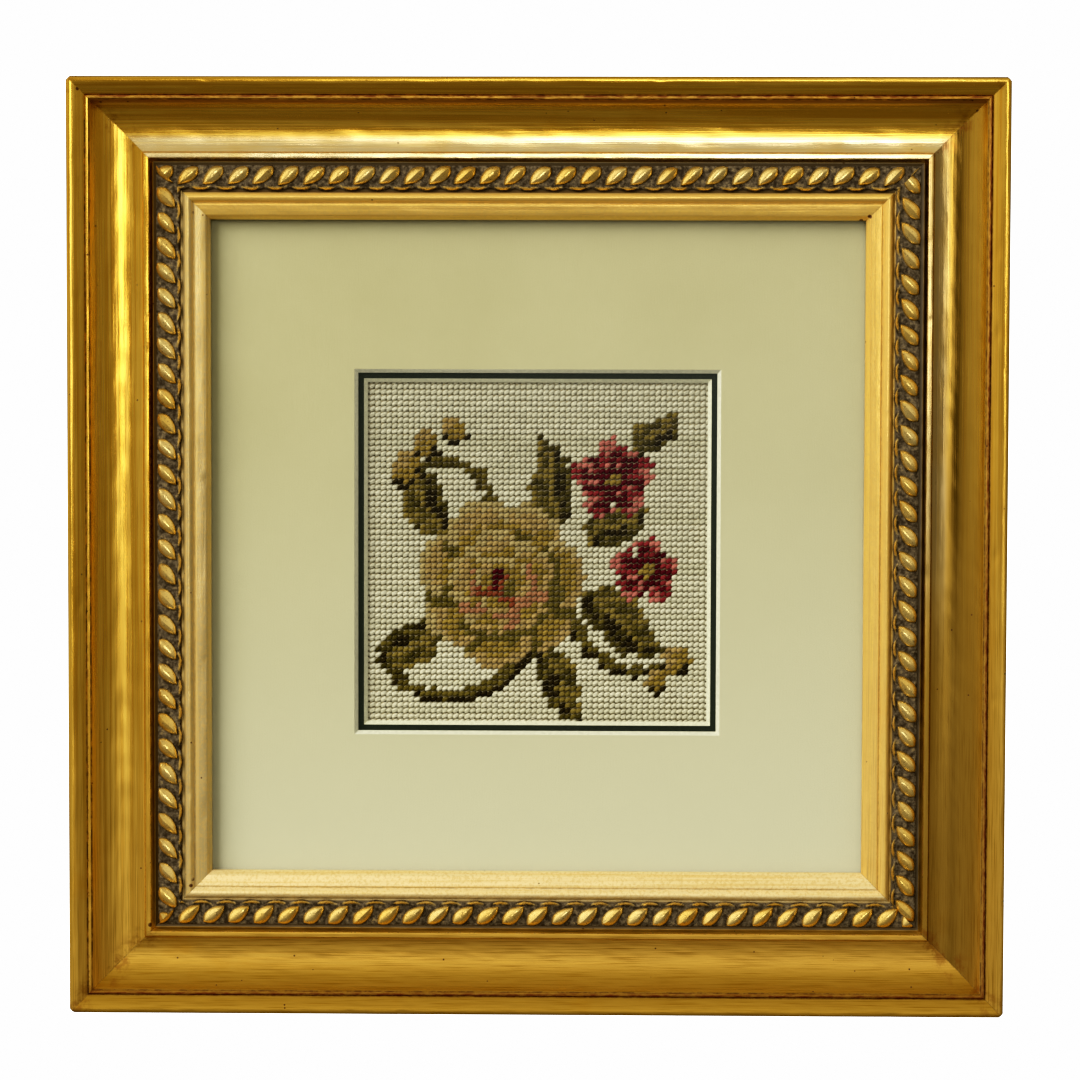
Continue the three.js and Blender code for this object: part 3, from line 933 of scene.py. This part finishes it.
def chosen_yarns(rng):
    """The stitches of each yarn, as their middles counted from the window's."""
    chosen = {name: [] for name in YARNS}
    middle = (STITCHES_EACH_WAY - 1) / 2
    for row in range(STITCHES_EACH_WAY):
        lot = rng.choice(("ivory", "ivory", "pale_ivory", "warm_ivory"))
        for column in range(STITCHES_EACH_WAY):
            x, z = column - middle, middle - row
            if rng.random() < 0.03:
                lot = rng.choice(("ivory", "pale_ivory", "warm_ivory"))
            near_x, near_z = x + rng.uniform(-0.45, 0.45), z + rng.uniform(-0.45, 0.45)
            chosen[design(near_x, near_z) or lot].append((x, z))
    return chosen


def stitches(name, places, material, rng):
    shape, quads = stitch_shape()
    base = -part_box("needlepoint")[1].y / MM + CANVAS_THICKNESS + STITCH["over_canvas"]
    drop = MIDDLE / MM - WINDOW_DROP
    every_point, every_face = [], []
    for x, z in places:
        length = STITCH["half_length"] * rng.uniform(0.95, 1.05)
        width = STITCH["half_width"] * rng.uniform(0.92, 1.08)
        slant = math.radians(STITCH["slant"] + rng.uniform(-5, 5))
        along = shape[:, 0] * length
        across = shape[:, 1] * width + 0.05 * np.sin(shape[:, 0] * 2.5 + rng.uniform(0, 6))
        up = shape[:, 2] * STITCH["crest"] * rng.uniform(0.88, 0.98)
        px, pz = (middle * STITCH_PITCH + rng.uniform(-0.07, 0.07) for middle in (x, z))
        px = px + along * math.cos(slant) - across * math.sin(slant)
        pz = pz + along * math.sin(slant) + across * math.cos(slant)
        every_face.append(quads + len(every_point) * len(shape))
        every_point.append(np.stack([px, -(base + up), drop + pz], 1))
    points = np.concatenate(every_point) * MM
    faces = [tuple(f[:3]) if f[3] == f[0] else tuple(f) for f in np.concatenate(every_face).tolist()]
    obj = mesh_object(f"stitches_{name}", points, faces, STITCH_SHARP)
    return add_piece(obj, "yarn", [material])


def canvas(material):
    """The canvas under the stitches, stretched flat with slightly drawn edges."""
    low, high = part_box("needlepoint")
    back, steps = -high.y, 40
    wobble = wave_sum(random.Random(SEED + 7), 8, 0.02, 0.02)
    edge = wave_sum(random.Random(SEED + 8), 6, 0.03, 0.03)
    points = []
    for thickness in (0.0, CANVAS_THICKNESS * MM):
        for i in range(steps + 1):
            for j in range(steps + 1):
                x = low.x + (high.x - low.x) * i / steps
                z = low.z + (high.z - low.z) * j / steps
                at_edge = i in (0, steps) or j in (0, steps)
                drawn = 1 - CANVAS_DRAWN * (1 + edge(x / MM, z / MM)) * at_edge
                x, z = x * drawn, (z - MIDDLE) * drawn + MIDDLE
                lift = CANVAS_UNEVEN * MM * (1 + wobble(x / MM, z / MM))
                points.append((x, -(back + thickness + lift), z))
    obj = mesh_object("canvas", points, closed_grid(steps, steps))
    return add_piece(obj, "yarn", [material], "needlepoint")


def stitched_canvas():
    rng = random.Random(SEED + 11)
    chosen = chosen_yarns(rng)
    for name, (colour, spread) in YARNS.items():
        if chosen[name]:
            stitches(name, chosen[name], yarn(f"yarn_{name}", colour, spread), rng)
    ground = canvas(canvas_weave())


def dress(node, material):
    """Gives a kept CAD node its material."""
    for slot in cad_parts[node].material_slots:
        slot.material = material


# The camera, fitted to the outer corners and the windows of the picture
CAMERA = {"distance": 1.2, "azimuth": math.radians(0.885), "elevation": math.radians(2.85),
          "roll": math.radians(0.156), "target": (0.00127, -0.0266, MIDDLE + 0.00334), "lens": 107.4}


def add_camera():
    data = bpy.data.cameras.new("camera")
    data.lens = CAMERA["lens"]
    data.sensor_width = 36
    azimuth, elevation, roll = CAMERA["azimuth"], CAMERA["elevation"], CAMERA["roll"]
    back = Vector((math.sin(azimuth) * math.cos(elevation), -math.cos(azimuth) * math.cos(elevation),
                   math.sin(elevation)))
    level = Vector((math.cos(azimuth), math.sin(azimuth), 0))
    up = back.cross(level)
    right = level * math.cos(roll) + up * math.sin(roll)
    up = back.cross(right)
    camera = bpy.data.objects.new("camera", data)
    camera.matrix_world = Matrix((right, up, back)).transposed().to_4x4()
    camera.location = Vector(CAMERA["target"]) + back * CAMERA["distance"]
    bpy.context.collection.objects.link(camera)
    bpy.context.scene.camera = camera


# What the room gives: direction, how narrow, how bright
ROOM = (
    ((0.0, -1.0, 0.5), 4.0, 0.3),
    ((-1.0, -0.35, 0.15), 7.0, 0.4),
    ((-0.72, -0.2, 0.65), 9.0, 1.0),
    ((0.72, -0.2, 0.65), 9.0, 0.5),
)
ROOM_LOW = 0.175
# The brightness of the backdrop and of the floor, which shows as white
WHITE = 1.8


def add_room():
    """A white backdrop for the camera, and a soft room for everything that is lit by it."""
    world = bpy.data.worlds.new("room")
    bpy.context.scene.world = world
    world.use_nodes = True
    room = Nodes(world.node_tree)
    room.tree.nodes.clear()
    look = room.out("TexCoord", output="Generated")
    total = ROOM_LOW
    for direction, narrow, bright in ROOM:
        towards = tuple(Vector(direction).normalized())
        facing = room.out("VectorMath", {0: look, 1: towards}, "Value", operation="DOT_PRODUCT")
        power = room.math("MULTIPLY_ADD", facing, narrow, -narrow)
        total = room.math("MULTIPLY_ADD", room.math("EXPONENT", power), bright, total)
    soft = room.out("Background", {0: (1.0, 0.94, 0.76), 1: total})
    white = room.out("Background", {0: (1, 1, 1), 1: WHITE})
    seen = room.out("LightPath", output="Is Camera Ray")
    both = room.out("MixShader", {0: seen, 1: soft, 2: white})
    room.node("OutputWorld", {"Surface": both})


def add_light(name, place, size, energy, in_gloss, colour):
    data = bpy.data.lights.new(name, "AREA")
    data.size, data.energy, data.color = size, energy, colour
    light = bpy.data.objects.new(name, data)
    light.location = place
    aim = Vector((0, 0, MIDDLE)) - Vector(place)
    light.rotation_euler = aim.to_track_quat("-Z", "Y").to_euler()
    light.visible_glossy = in_gloss
    bpy.context.collection.objects.link(light)


def add_floor():
    """A plain pale floor under the frame, bright enough to meet the backdrop without a line."""
    side, level = 14.0, cad_box[0].z - 0.0006
    corners = [(-side, -side, level), (side, -side, level), (side, side, level), (-side, side, level)]
    mesh = bpy.data.meshes.new("floor")
    mesh.from_pydata(corners, [], [(0, 1, 2, 3)])
    floor = bpy.data.objects.new("floor", mesh)
    bpy.context.collection.objects.link(floor)
    finish = Finish("floor")
    pale = finish.mix(finish.noise(3.0), (0.60, 0.60, 0.59), (0.62, 0.62, 0.62))
    mesh.materials.append(finish.set(Base_Color=pale, Roughness=0.9, Specular_IOR_Level=0.0,
                                     Emission_Color=(1, 1, 1), Emission_Strength=WHITE))
    floor.visible_glossy = False
    floor.visible_diffuse = False


# How a camera's tones answer the light: light that falls in, and light that the picture shows
TONES = ((0.012, 0.0015), (0.03, 0.009), (0.06, 0.029), (0.1, 0.064), (0.2, 0.18), (0.35, 0.375),
         (0.5, 0.565), (0.7, 0.77))


def set_contrast():
    settings = bpy.context.scene.view_settings
    settings.view_transform = "Standard"
    settings.use_curve_mapping = True
    mapping = settings.curve_mapping
    mapping.use_clip = False
    mapping.extend = "HORIZONTAL"
    curve = mapping.curves[3]
    for place in TONES:
        curve.points.new(*place)
    curve.points[-1].location = (1.0, 0.99)
    curve.points.new(1.6, 1.0)
    mapping.update()


add_camera()
wood, wash, gold, rope_gold = bare_wood(), side_wash(), gilding(), aged_gilding()
for turns, place in enumerate(SIDES):
    rail(place, turns, [gold, wash, wood])
    rope(place, turns, rope_gold)
mat("cream_mat", "mat_top", TOP_WINDOW, "cream_board",
    board("cream_board", (0.54, 0.50, 0.315), (0.50, 0.462, 0.283), (0.68, 0.655, 0.50),
          (0.74, 0.72, 0.59), TOP_WINDOW))
mat("green_mat", "mat_under", UNDER_WINDOW, "green_board",
    board("green_board", (0.030, 0.036, 0.027), (0.024, 0.029, 0.022), (0.036, 0.042, 0.032),
          (0.74, 0.72, 0.57), UNDER_WINDOW))
stitched_canvas()
dress("glass", clear_glass())
dress("backing", brown_board())
point_steel = steel()
for place in SIDES:
    for number in (1, 2):
        dress(f"point_{place}_{number}", point_steel)
add_room()
add_floor()
add_light("window", (0.15, -1.9, MIDDLE + 0.31), 0.6, 4.2, True, (1.0, 0.99, 0.97))
add_light("key", (-1.875, -1.8, 1.29), 2.2, 98, False, (1.0, 1.0, 0.99))
set_contrast()
